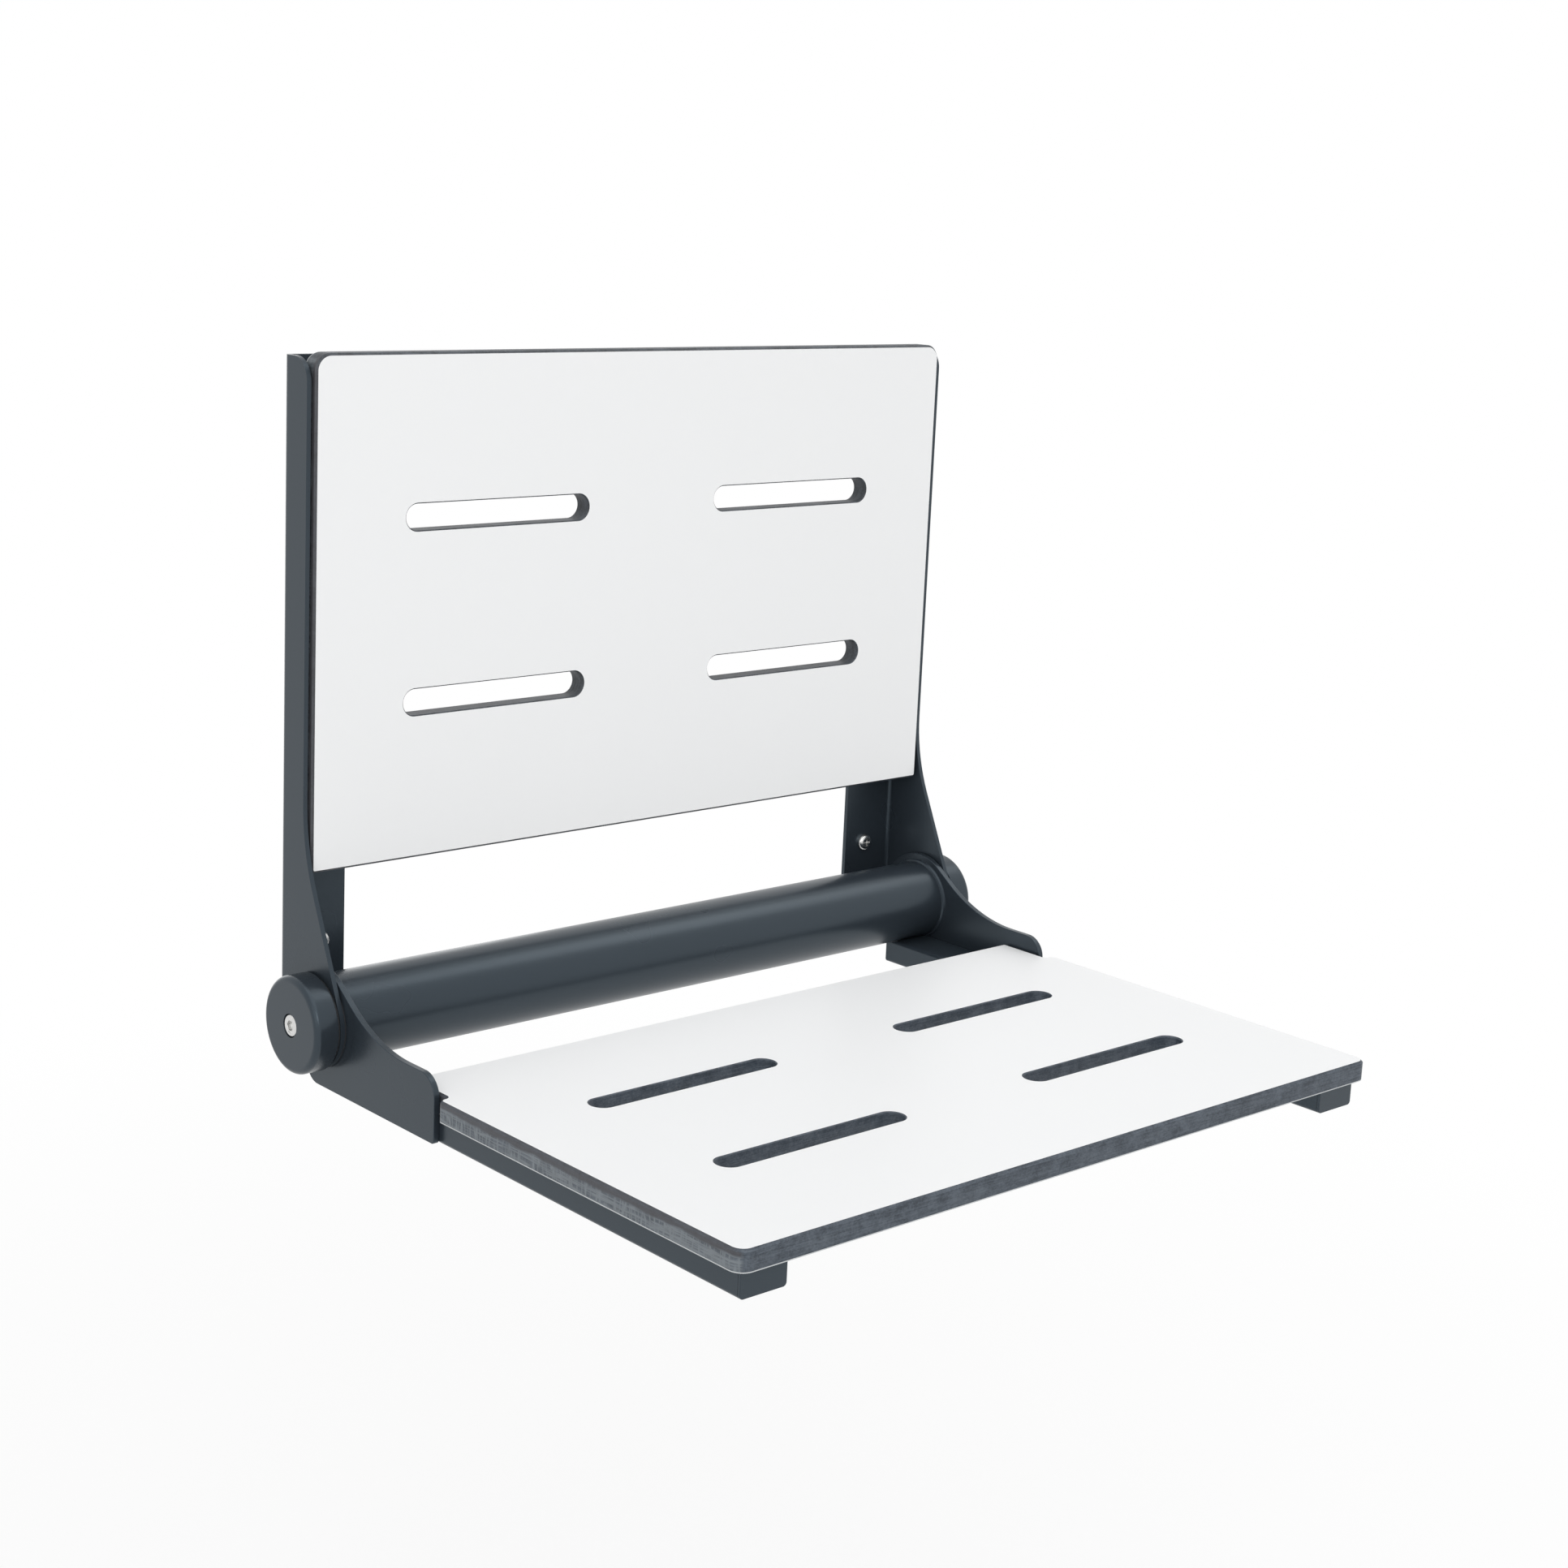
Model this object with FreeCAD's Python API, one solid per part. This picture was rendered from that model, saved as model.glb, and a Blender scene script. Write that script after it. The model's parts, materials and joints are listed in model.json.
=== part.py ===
"""Fold down wall seat: slotted seat and backrest panels on a hinged steel frame.

All lengths are in millimetres.  The model is drawn round the hinge axis: +X is
the right of someone who faces the wall, -Y points out of the wall and +Z up.
Each piece is moved to the four wall holes' centre when it is written out.
"""
import FreeCAD, Part
import math
import os

# Width of the backrest and the gaps that place everything else across
BACK_HALF = 258.2
BACK_SIDE_GAP = 1.3        # backrest edge to side plate
SIDE_IN_X = BACK_HALF + BACK_SIDE_GAP

# Hinge axis and wall
WALL_Y = 42.0              # wall plane behind the hinge axis
HOLE_LOW_Z = 211.0         # lower pair of open wall holes above the hinge axis
HOLE_HIGH_Z = 385.0        # upper pair of open wall holes
WALL_HOLE_X = SIDE_IN_X - 24.5
WALL_HOLE_R = 3.5
LOW_SCREW_Z = 37.0         # lowest fixing, the one that shows below the backrest
CENTRE_Z = (HOLE_LOW_Z + HOLE_HIGH_Z) / 2

# Clearances
RUN = 0.05                 # radial play of a shaft in its bore
COPE = 0.3                 # gap of a weld fitted against a round tube
PAST = 1.0                 # a cutter or a joined stub reaches this far past a face
TINY = 1e-3
HEX_CORNERS = 6

# Wall brackets, bent from flat plate
PLATE = 3.0                # plate thickness
SIDE_OUT_X = SIDE_IN_X + PLATE
FLANGE_W = 42.5            # wall flange, from the side plate's inner face
FLANGE_EDGE_X = SIDE_IN_X - FLANGE_W
BEND_IN_R = 2.5
BEND_OUT_R = BEND_IN_R + PLATE
BRACKET_TOP_Z = 401.0
FLANGE_LOW_Z = 12.0
FRONT_Y = 15.3             # front edge of the side plate beside the backrest
TOP_CORNER_R = 14.5
FLARE_ANGLE = 24.5         # slope of the flare, from upright
FLARE_R = 130.0            # hollow curve from the flare to the straight edge
LUG_R = 29.5               # round eye about the hinge axis
REAR_TAPER_Z = 14.0        # the rear edge leaves the wall plane below this height

# Hinge
SPIGOT_R = 8.0
BUSH_WALL = 2.0
BUSH_FLANGE = 1.0
BUSH_FLANGE_R = 14.5
BUSH_OUT_R = SPIGOT_R + RUN + BUSH_WALL
FACING_IN_R = 25.0         # friction facing outside the stop slot
FACING_OUT_R = 29.0
FRICTION_RING = 1.5        # thickness
FRICTION_RING_R = 28.6
STOP_R = 20.0              # pitch radius of the stop pin
STOP_PIN_R = 4.0
STOP_SIDE = 0.2            # play of the pin across the slot
STOP_END = 0.05            # play of the pin at the slot's ends
STOP_TRAVEL = 90.0
STOP_PIN_EDGE = 0.4
SPRING_STACK = 7.8
SPRING_COUNT = 3
SPRING_R = 14.0
SPRING_T = 1.3
CAP_R = 30.4
CAP_LENGTH = 16.0
CAP_EDGE_R = 3.8
CAP_RIM_R = 0.6            # rounding of the inner rim
CAP_HOLLOW_R = 22.0
CAP_GAP = 0.1              # rim stands clear of the friction ring
PLUG_LENGTH = 22.0         # plug of the axle inside the cross tube
SPIGOT_EDGE = 0.6
THREAD_SPARE = 2.0         # thread past the tip of the cap screw

# Cap screw, button head with hexagon socket
BOLT_R = 4.0
BOLT_HEAD_R = 7.0
BOLT_HEAD_H = 4.4
BOLT_RIM_H = 3.0           # straight side of the head
BOLT_CROWN_R = 5.4         # flat top of the head
BOLT_REACH = 18.0          # thread inside the axle
BOLT_TIP = 0.8
BOLT_BULGE = 0.35          # the edge of the head swells this far beyond a straight slope
SOCKET_FLATS = 6.0
SOCKET_DEPTH = 2.6
COUNTERBORE_R = 7.4
COUNTERBORE_D = 4.5

# Cross tube
TUBE_R = 27.5
TUBE_WALL = 2.5
WELD = 2.0                 # leg of the weld bead at each tube end
WELD_CROWN = 0.7           # top of the bead, as a share of its leg

# Arms
ARM_PLATE = 4.0
ARM_PLATE_OUT_X = SIDE_IN_X - BUSH_FLANGE
ARM_PLATE_IN_X = ARM_PLATE_OUT_X - ARM_PLATE
ARM_LUG_R = 33.5
ARM_TOP_Z = -1.2
ARM_FRONT_Y = -122.7
ARM_BOTTOM_Z = -42.0
ARM_NOSE_R = 14.0
ARM_TOE_R = 2.0
ARM_SLOPE = 35.3           # line from the eye down to the top edge
ARM_HOLLOW_R = 105.0
HEEL_SLOPE = 40.3          # line from the eye to the heel
HEEL_R = 12.0
ARM_TUBE_W = 32.0
ARM_TUBE_WALL = 2.0
ARM_TUBE_R = 2.4
ARM_TUBE_REAR_Y = -3.0
ARM_TUBE_FRONT_Y = -388.0
END_PLATE = 2.0

# Panels
PANEL = 12.7
ARRIS = 1.5                # sloped edge round the front face
SLOT_W = 16.5
SLOT_EDGE = 0.7
SLOT_NEAR_X = 53.0
SLOT_FAR_X = BACK_HALF - 65.2
BACK_CORNER_R = 10.5
SEAT_CORNER_R = 8.5
PANEL_TIGHT_R = 2.6

# Backrest
BACK_FRONT_Y = 12.2
BACK_REAR_Y = BACK_FRONT_Y + PANEL
BACK_LOW_Z = 88.9
BACK_TOP_Z = 403.4
BACK_SLOT_Z = (188.2, 303.3)

# Seat
SEAT_HALF = SIDE_IN_X + 1.5
SEAT_TOP_Z = -12.2
SEAT_LOW_Z = SEAT_TOP_Z - PANEL
SEAT_REAR_Y = -90.1
SEAT_FRONT_Y = -394.3
SEAT_SLOT_Y = (-186.0, -297.5)
NOTCH_SIDE = 1.0           # gap beside the arm plate
NOTCH_X = ARM_PLATE_IN_X - NOTCH_SIDE
NOTCH_FRONT = 6.5          # gap in front of the arm plate
NOTCH_R = 4.6
NOTCH_ROOT_R = 2.6

# Backrest hangers
CLEAT_W = 36.0
CLEAT_H = 44.0
CLEAT_Z = (130.0, 345.0)
CLEAT_CORNER_R = 5.0
HANGER_X = SIDE_IN_X - 19.5
SHANK_R = 3.0
KEY_SLOT_R = 3.3
KEY_ENTRY_R = 6.7
KEY_LIFT = 12.0            # the panel is lifted this far to come off
HANGER_HEAD_R = 6.0
HANGER_HEAD_H = 3.0
HANGER_HEAD_EDGE = 0.6
HANGER_GAP = 0.1
HANGER_SOCKET = 4.0        # hexagon across flats
HANGER_SOCKET_D = 1.8

# Threaded inserts and seat screws
INSERT_R = 4.5
INSERT_L = 9.0
SEAT_SCREW_R = 2.5
SEAT_SCREW_HOLE_R = 2.8
SEAT_SCREW_HEAD_R = 4.6
SEAT_SCREW_HEAD_H = 3.0
SEAT_SCREW_EDGE_R = 1.2
SEAT_SCREW_REACH = 8.0
SEAT_SCREW_Y = (-140.0, -242.0, -344.0)
ACCESS_R = 6.0
PLUG_HEAD_R = 7.5
PLUG_HEAD_H = 1.2
PLUG_EDGE_R = 0.8

# Wall screws
WALL_SCREW_R = 3.0
WALL_HEAD_R = 6.0
WALL_HEAD_H = 3.6
WALL_HEAD_EDGE_R = 2.6
CROSS_W = 1.3
CROSS_L = 6.0
CROSS_D = 2.2

ARM_TUBE_OUT_X = ARM_PLATE_IN_X
ARM_TUBE_IN_X = ARM_TUBE_OUT_X - ARM_TUBE_W
ARM_MID_X = (ARM_TUBE_OUT_X + ARM_TUBE_IN_X) / 2
RING_OUT_X = SIDE_OUT_X + FRICTION_RING
SPIGOT_END_X = RING_OUT_X + SPRING_STACK
CAP_OUT_X = RING_OUT_X + CAP_LENGTH
HEAD_SEAT_X = CAP_OUT_X - COUNTERBORE_D


def side_point(u, v, along=0.0):
    """Point of a side profile: u along Y, v along Z."""
    return FreeCAD.Vector(along, u, v)


def plan_point(u, v, along=0.0):
    """Point of a plan profile: u along X, v along Y."""
    return FreeCAD.Vector(u, v, along)


def front_point(u, v, along=0.0):
    """Point of a front profile: u along X, v along Z."""
    return FreeCAD.Vector(u, along, v)


def corner_points(before, corner, after):
    """Start, middle and end of the arc that rounds one corner."""
    u, v, radius = corner
    if radius == 0:
        return [(u, v)]
    first = (before[0] - u, before[1] - v)
    second = (after[0] - u, after[1] - v)
    first_len = math.hypot(*first)
    second_len = math.hypot(*second)
    first = (first[0] / first_len, first[1] / first_len)
    second = (second[0] / second_len, second[1] / second_len)
    cosine = first[0] * second[0] + first[1] * second[1]
    half = math.acos(max(-1.0, min(1.0, cosine))) / 2
    run = radius / math.tan(half)
    middle = (first[0] + second[0], first[1] + second[1])
    middle_len = math.hypot(*middle)
    reach = radius / math.sin(half) - radius
    return [
        (u + first[0] * run, v + first[1] * run),
        (u + middle[0] / middle_len * reach, v + middle[1] / middle_len * reach),
        (u + second[0] * run, v + second[1] * run),
    ]


def rounded_face(corners, point, along):
    """Face inside a closed profile of (u, v, radius) corners."""
    count = len(corners)
    runs = [
        corner_points(corners[i - 1], corners[i], corners[(i + 1) % count])
        for i in range(count)
    ]
    edges = []
    for i, run in enumerate(runs):
        placed = [point(u, v, along) for u, v in run]
        if len(placed) == 3:
            edges.append(Part.Arc(*placed).toShape())
        start = placed[-1]
        end = point(*runs[(i + 1) % count][0], along)
        if (end - start).Length > 1e-4:
            edges.append(Part.makeLine(start, end))
    return Part.Face(Part.Wire(edges))


def box(x0, x1, y0, y1, z0, z1):
    """Block between two values on each axis."""
    corner = FreeCAD.Vector(min(x0, x1), min(y0, y1), min(z0, z1))
    return Part.makeBox(abs(x1 - x0), abs(y1 - y0), abs(z1 - z0), corner)


def rod_x(radius, x0, x1, y=0.0, z=0.0):
    """Round bar along X."""
    start = FreeCAD.Vector(x0, y, z)
    return Part.makeCylinder(radius, x1 - x0, start, FreeCAD.Vector(1, 0, 0))


def rod_y(radius, x, y0, y1, z):
    """Round bar along Y."""
    start = FreeCAD.Vector(x, y0, z)
    return Part.makeCylinder(radius, y1 - y0, start, FreeCAD.Vector(0, 1, 0))


def rod_z(radius, x, y, z0, z1):
    """Round bar along Z."""
    start = FreeCAD.Vector(x, y, z0)
    return Part.makeCylinder(radius, z1 - z0, start, FreeCAD.Vector(0, 0, 1))


def ring_x(outer, inner, x0, x1):
    """Flat ring along X."""
    return rod_x(outer, x0, x1).cut(rod_x(inner, x0 - PAST, x1 + PAST))


def turned_x(points):
    """Solid turned about the X axis from (x, radius) points."""
    wire = Part.makePolygon([FreeCAD.Vector(x, 0, r) for x, r in points + points[:1]])
    return Part.Face(wire).revolve(FreeCAD.Vector(0, 0, 0), FreeCAD.Vector(1, 0, 0), 360)


def mirrored(shape):
    """The same piece on the other side of the middle plane."""
    return shape.mirror(FreeCAD.Vector(0, 0, 0), FreeCAD.Vector(1, 0, 0))


def both_sides(shapes):
    """Right hand pieces and their mirror images in one group."""
    return Part.makeCompound(shapes + [mirrored(shape) for shape in shapes])


def single(shape):
    """The only solid of a shape."""
    return shape.removeSplitter().Solids[0]


def slot_corners(near, far, low, high):
    """Profile of a slot with round ends."""
    radius = (high - low) / 2 - TINY
    return [(near, low, radius), (far, low, radius), (far, high, radius), (near, high, radius)]


def edges_on(shape, axis, value):
    """Edges that lie wholly in one plane across an axis."""
    picked = []
    for edge in shape.Edges:
        bounds = edge.BoundBox
        low = getattr(bounds, axis + "Min")
        high = getattr(bounds, axis + "Max")
        if abs(low - value) < TINY and abs(high - value) < TINY:
            picked.append(edge)
    return picked


def side_plate():
    """Side plate of the right bracket, with its eye and flared front edge."""
    slope = math.radians(FLARE_ANGLE)
    flare_low_u = -(LUG_R + LUG_R * math.sin(slope)) / math.cos(slope)
    flare_corner = LUG_R / math.sin(slope) + FRONT_Y / math.tan(slope)
    reach = math.hypot(WALL_Y, REAR_TAPER_Z)
    taper = math.atan2(REAR_TAPER_Z, WALL_Y) - math.acos(LUG_R / reach)
    rear_low_u = (LUG_R + LUG_R * math.sin(taper)) / math.cos(taper)
    corners = [
        (WALL_Y, BRACKET_TOP_Z, 0),
        (FRONT_Y, BRACKET_TOP_Z, TOP_CORNER_R),
        (FRONT_Y, flare_corner, FLARE_R),
        (flare_low_u, -LUG_R, LUG_R),
        (rear_low_u, -LUG_R, LUG_R),
        (WALL_Y, REAR_TAPER_Z, 0),
    ]
    return rounded_face(corners, side_point, SIDE_IN_X).extrude(FreeCAD.Vector(PLATE, 0, 0))


def wall_bracket():
    """Right wall bracket: side plate, bend and drilled wall flange."""
    flange = box(FLANGE_EDGE_X, SIDE_IN_X, WALL_Y - PLATE, WALL_Y, FLANGE_LOW_Z, BRACKET_TOP_Z)
    body = side_plate().fuse(flange)
    inside = box(SIDE_IN_X - BEND_IN_R, SIDE_IN_X, WALL_Y - PLATE - BEND_IN_R, WALL_Y - PLATE,
                 FLANGE_LOW_Z, BRACKET_TOP_Z)
    inside = inside.cut(rod_z(BEND_IN_R, SIDE_IN_X - BEND_IN_R, WALL_Y - PLATE - BEND_IN_R,
                              FLANGE_LOW_Z, BRACKET_TOP_Z))
    body = body.fuse(inside)
    corner_x = SIDE_OUT_X - BEND_OUT_R
    corner_y = WALL_Y - BEND_OUT_R
    outside = box(corner_x, SIDE_OUT_X + PAST, corner_y, WALL_Y + PAST, 0, BRACKET_TOP_Z + PAST)
    outside = outside.cut(rod_z(BEND_OUT_R, corner_x, corner_y, 0, BRACKET_TOP_Z + PAST))
    body = body.cut(outside)
    body = body.cut(rod_x(BUSH_OUT_R + RUN, SIDE_IN_X - PAST, SIDE_OUT_X + PAST))
    body = body.cut(stop_slot())
    for height in (LOW_SCREW_Z, HOLE_LOW_Z, HOLE_HIGH_Z):
        hole = rod_y(WALL_HOLE_R, WALL_HOLE_X, WALL_Y - PLATE - PAST, WALL_Y + PAST, height)
        body = body.cut(hole)
    return single(body)


def stop_slot():
    """Curved slot in the eye that the stop pin travels in."""
    half = STOP_PIN_R + STOP_SIDE
    inset = math.degrees((STOP_SIDE - STOP_END) / STOP_R)
    first = math.radians(-90 - inset)
    last = math.radians(-90 - STOP_TRAVEL + inset)
    middle = (first + last) / 2
    outer = STOP_R + half
    inner = STOP_R - half

    def at(radius, angle):
        return side_point(radius * math.cos(angle), radius * math.sin(angle), SIDE_IN_X - PAST)

    def end_tip(angle, way):
        u = STOP_R * math.cos(angle) - way * half * math.sin(angle)
        v = STOP_R * math.sin(angle) + way * half * math.cos(angle)
        return side_point(u, v, SIDE_IN_X - PAST)

    edges = [
        Part.Arc(at(outer, first), at(outer, middle), at(outer, last)).toShape(),
        Part.Arc(at(outer, last), end_tip(last, -1), at(inner, last)).toShape(),
        Part.Arc(at(inner, last), at(inner, middle), at(inner, first)).toShape(),
        Part.Arc(at(inner, first), end_tip(first, 1), at(outer, first)).toShape(),
    ]
    return Part.Face(Part.Wire(edges)).extrude(FreeCAD.Vector(PLATE + 2 * PAST, 0, 0))


def hinge_bush():
    """Flanged plain bush in the bracket eye."""
    sleeve = rod_x(BUSH_OUT_R, SIDE_IN_X, SIDE_OUT_X)
    flange = rod_x(BUSH_FLANGE_R, ARM_PLATE_OUT_X, SIDE_IN_X)
    bore = rod_x(SPIGOT_R + RUN, ARM_PLATE_OUT_X - PAST, SIDE_OUT_X + PAST)
    return single(sleeve.fuse(flange).cut(bore))


def cleat(height):
    """Keyhole plate behind the backrest, welded inside the side plate."""
    body = box(SIDE_IN_X - CLEAT_W, SIDE_IN_X, BACK_REAR_Y, BACK_REAR_Y + PLATE,
               height - CLEAT_H / 2, height + CLEAT_H / 2)
    corners = edges_free_upright(body, SIDE_IN_X - CLEAT_W)
    body = body.makeFillet(CLEAT_CORNER_R, corners)
    low = height - KEY_SLOT_R + SHANK_R + RUN
    slot = rounded_face(
        [(HANGER_X - KEY_SLOT_R, low - KEY_SLOT_R, KEY_SLOT_R - TINY),
         (HANGER_X + KEY_SLOT_R, low - KEY_SLOT_R, KEY_SLOT_R - TINY),
         (HANGER_X + KEY_SLOT_R, low + KEY_LIFT, 0),
         (HANGER_X - KEY_SLOT_R, low + KEY_LIFT, 0)],
        front_point, BACK_REAR_Y - PAST).extrude(FreeCAD.Vector(0, PLATE + 2 * PAST, 0))
    entry = rod_y(KEY_ENTRY_R, HANGER_X, BACK_REAR_Y - PAST, BACK_REAR_Y + PLATE + PAST,
                  height + KEY_LIFT)
    return single(body.cut(slot).cut(entry))


def edges_free_upright(body, x_value):
    """Edges along Y at the free end of a cleat."""
    picked = []
    for edge in body.Edges:
        bounds = edge.BoundBox
        if bounds.YLength > PLATE / 2 and abs(bounds.XMax - x_value) < TINY:
            picked.append(edge)
    return picked


def hanger_screw(height):
    """Shoulder screw of the backrest, its head behind the cleat."""
    head_y = BACK_REAR_Y + PLATE + HANGER_GAP
    shank = rod_y(SHANK_R, HANGER_X, BACK_REAR_Y - INSERT_L + PAST, head_y, height)
    head = rod_y(HANGER_HEAD_R, HANGER_X, head_y, head_y + HANGER_HEAD_H, height)
    head = head.makeChamfer(HANGER_HEAD_EDGE, edges_on(head, "Y", head_y + HANGER_HEAD_H))
    body = shank.fuse(head)
    return single(body.cut(hex_socket_y(HANGER_X, height, head_y + HANGER_HEAD_H)))


def hex_socket_y(x, z, face_y):
    """Hexagon socket cut into a face that looks along +Y."""
    reach = HANGER_SOCKET / 2 / math.cos(math.radians(30))
    points = [
        FreeCAD.Vector(x + reach * math.cos(math.radians(60 * i)), face_y - HANGER_SOCKET_D,
                       z + reach * math.sin(math.radians(60 * i)))
        for i in range(HEX_CORNERS + 1)
    ]
    return Part.Face(Part.makePolygon(points)).extrude(FreeCAD.Vector(0, HANGER_SOCKET_D + PAST, 0))


def back_insert(height):
    """Threaded insert in the back of the backrest."""
    body = rod_y(INSERT_R, HANGER_X, BACK_REAR_Y - INSERT_L, BACK_REAR_Y, height)
    return body.cut(rod_y(SHANK_R + RUN, HANGER_X, BACK_REAR_Y - INSERT_L - PAST,
                          BACK_REAR_Y + PAST, height))


def backrest_panel():
    """Backrest panel with its four slots and blind holes for the inserts."""
    corners = [
        (-BACK_HALF, BACK_LOW_Z, PANEL_TIGHT_R), (BACK_HALF, BACK_LOW_Z, PANEL_TIGHT_R),
        (BACK_HALF, BACK_TOP_Z, BACK_CORNER_R), (-BACK_HALF, BACK_TOP_Z, BACK_CORNER_R),
    ]
    body = rounded_face(corners, front_point, BACK_FRONT_Y)
    body = body.extrude(FreeCAD.Vector(0, PANEL, 0))
    body = body.makeChamfer(ARRIS, edges_on(body, "Y", BACK_FRONT_Y))
    for height in BACK_SLOT_Z:
        for near, far in ((SLOT_NEAR_X, SLOT_FAR_X), (-SLOT_FAR_X, -SLOT_NEAR_X)):
            hole = slot_corners(near, far, height - SLOT_W / 2, height + SLOT_W / 2)
            cutter = rounded_face(hole, front_point, BACK_FRONT_Y - PAST)
            body = body.cut(cutter.extrude(FreeCAD.Vector(0, PANEL + 2 * PAST, 0)))
    rims = [e for e in edges_on(body, "Y", BACK_FRONT_Y) + edges_on(body, "Y", BACK_REAR_Y)
            if abs(e.BoundBox.Center.x) < SLOT_FAR_X and rim_of_slot(e, BACK_SLOT_Z, "z")]
    body = body.makeChamfer(SLOT_EDGE, rims)
    for height in CLEAT_Z:
        for x in (HANGER_X, -HANGER_X):
            body = body.cut(rod_y(INSERT_R + RUN, x, BACK_REAR_Y - INSERT_L,
                                  BACK_REAR_Y + PAST, height))
    return single(body)


def rim_of_slot(edge, rows, axis):
    """True for an edge that belongs to one of the slot rows."""
    middle = getattr(edge.BoundBox.Center, axis)
    return any(abs(middle - row) < SLOT_W for row in rows)


def seat_panel():
    """Seat panel, notched at the rear round both arm plates."""
    step_y = ARM_FRONT_Y - NOTCH_FRONT
    right = [
        (SEAT_HALF, SEAT_FRONT_Y, SEAT_CORNER_R),
        (SEAT_HALF, step_y, NOTCH_R),
        (NOTCH_X, step_y, NOTCH_ROOT_R),
        (NOTCH_X, SEAT_REAR_Y, PANEL_TIGHT_R),
    ]
    left = [(-x, y, radius) for x, y, radius in reversed(right)]
    body = rounded_face(right + left, plan_point, SEAT_LOW_Z)
    body = body.extrude(FreeCAD.Vector(0, 0, PANEL))
    body = body.makeChamfer(ARRIS, edges_on(body, "Z", SEAT_TOP_Z))
    for row in SEAT_SLOT_Y:
        for near, far in ((SLOT_NEAR_X, SLOT_FAR_X), (-SLOT_FAR_X, -SLOT_NEAR_X)):
            hole = slot_corners(near, far, row - SLOT_W / 2, row + SLOT_W / 2)
            cutter = rounded_face(hole, plan_point, SEAT_LOW_Z - PAST)
            body = body.cut(cutter.extrude(FreeCAD.Vector(0, 0, PANEL + 2 * PAST)))
    rims = [e for e in edges_on(body, "Z", SEAT_TOP_Z) + edges_on(body, "Z", SEAT_LOW_Z)
            if abs(e.BoundBox.Center.x) < SLOT_FAR_X and rim_of_slot(e, SEAT_SLOT_Y, "y")]
    body = body.makeChamfer(SLOT_EDGE, rims)
    for y in SEAT_SCREW_Y:
        for x in (ARM_MID_X, -ARM_MID_X):
            body = body.cut(rod_z(INSERT_R + RUN, x, y, SEAT_LOW_Z - PAST, SEAT_LOW_Z + INSERT_L))
    return single(body)


def arm_plate():
    """Right arm plate: eye on the axle, hollow neck and rounded nose."""
    slope = math.radians(ARM_SLOPE)
    heel = math.radians(HEEL_SLOPE)
    crown_u = -(ARM_LUG_R - ARM_LUG_R * math.cos(slope)) / math.sin(slope)
    neck_u = crown_u - (ARM_LUG_R - ARM_TOP_Z) / math.tan(slope)
    rear_low = (ARM_LUG_R * math.cos(heel) - ARM_LUG_R) / math.sin(heel)
    heel_u = (ARM_LUG_R + ARM_BOTTOM_Z * math.sin(heel)) / math.cos(heel)
    corners = [
        (ARM_FRONT_Y, ARM_BOTTOM_Z, ARM_TOE_R),
        (ARM_FRONT_Y, ARM_TOP_Z, ARM_NOSE_R),
        (neck_u, ARM_TOP_Z, ARM_HOLLOW_R),
        (crown_u, ARM_LUG_R, ARM_LUG_R),
        (ARM_LUG_R, ARM_LUG_R, ARM_LUG_R),
        (ARM_LUG_R, rear_low, ARM_LUG_R),
        (heel_u, ARM_BOTTOM_Z, HEEL_R),
    ]
    body = rounded_face(corners, side_point, ARM_PLATE_IN_X)
    body = body.extrude(FreeCAD.Vector(ARM_PLATE, 0, 0))
    body = body.cut(rod_x(SPIGOT_R + RUN, ARM_PLATE_IN_X - PAST, ARM_PLATE_OUT_X + PAST))
    body = body.cut(rod_x(STOP_PIN_R + RUN, ARM_PLATE_IN_X - PAST, ARM_PLATE_OUT_X + PAST,
                          0, -STOP_R))
    return single(body)


def arm_section(inset, y0, y1):
    """Block with the arm tube's rounded section, shrunk by an inset."""
    radius = ARM_TUBE_R - inset
    low = ARM_BOTTOM_Z + inset
    high = SEAT_LOW_Z - inset
    near = ARM_TUBE_IN_X + inset
    far = ARM_TUBE_OUT_X - inset
    corners = [(near, low, radius), (far, low, radius), (far, high, radius), (near, high, radius)]
    face = rounded_face(corners, front_point, y0)
    return face.extrude(FreeCAD.Vector(0, y1 - y0, 0))


def tube_cope():
    """Round space taken by the cross tube where the arm tube passes under it."""
    return rod_x(TUBE_R + COPE, ARM_TUBE_IN_X - PAST, ARM_TUBE_OUT_X + PAST)


def arm_tube():
    """Right arm tube under the seat panel, coped round the cross tube."""
    front = ARM_TUBE_FRONT_Y + END_PLATE
    rear = ARM_TUBE_REAR_Y - END_PLATE
    body = arm_section(0, front, rear).cut(arm_section(ARM_TUBE_WALL, front - PAST, rear + PAST))
    body = body.cut(tube_cope())
    for y in SEAT_SCREW_Y:
        body = body.cut(rod_z(SEAT_SCREW_HOLE_R, ARM_MID_X, y, SEAT_LOW_Z - ARM_TUBE_WALL - PAST,
                              SEAT_LOW_Z + PAST))
        body = body.cut(rod_z(ACCESS_R, ARM_MID_X, y, ARM_BOTTOM_Z - PAST,
                              ARM_BOTTOM_Z + ARM_TUBE_WALL + PAST))
    return single(body)


def arm_front_end():
    """Plate that closes the front of the arm tube."""
    return arm_section(0, ARM_TUBE_FRONT_Y, ARM_TUBE_FRONT_Y + END_PLATE)


def arm_rear_end():
    """Plate that closes the rear of the arm tube under the cross tube."""
    body = arm_section(0, ARM_TUBE_REAR_Y - END_PLATE, ARM_TUBE_REAR_Y)
    return single(body.cut(tube_cope()))


def cross_tube():
    """Round tube between the two arm plates."""
    body = rod_x(TUBE_R, -ARM_PLATE_IN_X, ARM_PLATE_IN_X)
    return body.cut(rod_x(TUBE_R - TUBE_WALL, -ARM_PLATE_IN_X - PAST, ARM_PLATE_IN_X + PAST))


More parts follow.
